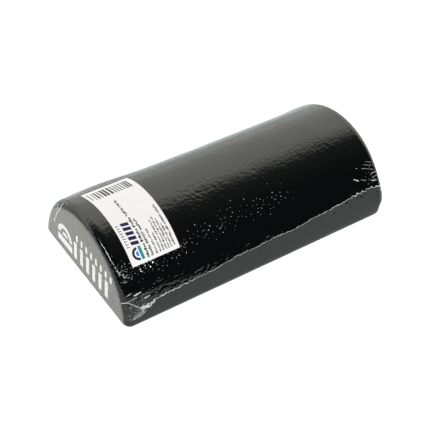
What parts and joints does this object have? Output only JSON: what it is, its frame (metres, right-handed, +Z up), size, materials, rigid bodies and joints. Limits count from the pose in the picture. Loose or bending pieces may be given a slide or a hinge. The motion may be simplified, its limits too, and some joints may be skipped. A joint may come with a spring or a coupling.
{
  "type": "half-round foam roller",
  "caption": "Half-round foam exercise roller with a flat base, shrink-wrapped in clear film, with a wrapped paper label and a printed end mark.",
  "frame": {"origin": "middle of the flat underside, on the surface that the roller rests on", "axes": "+Z up, out of the round side; +X along the roller, from the printed end to the plain end; +Y from the side with the film's long weld to the side with the fold"},
  "size_m": [0.3072, 0.1522, 0.0769],
  "materials": {
    "foam": "matte",
    "film": "gloss",
    "weld": "gloss",
    "label": "satin",
    "white_print": "matte"
  },
  "bodies": {
    "root": {"foam_core": "foam", "shrink_film": "film", "side_weld": "weld", "near_end_weld": "weld", "far_end_weld": "weld", "product_label": "label", "end_mark": "white_print"}
  },
  "joints": []
}
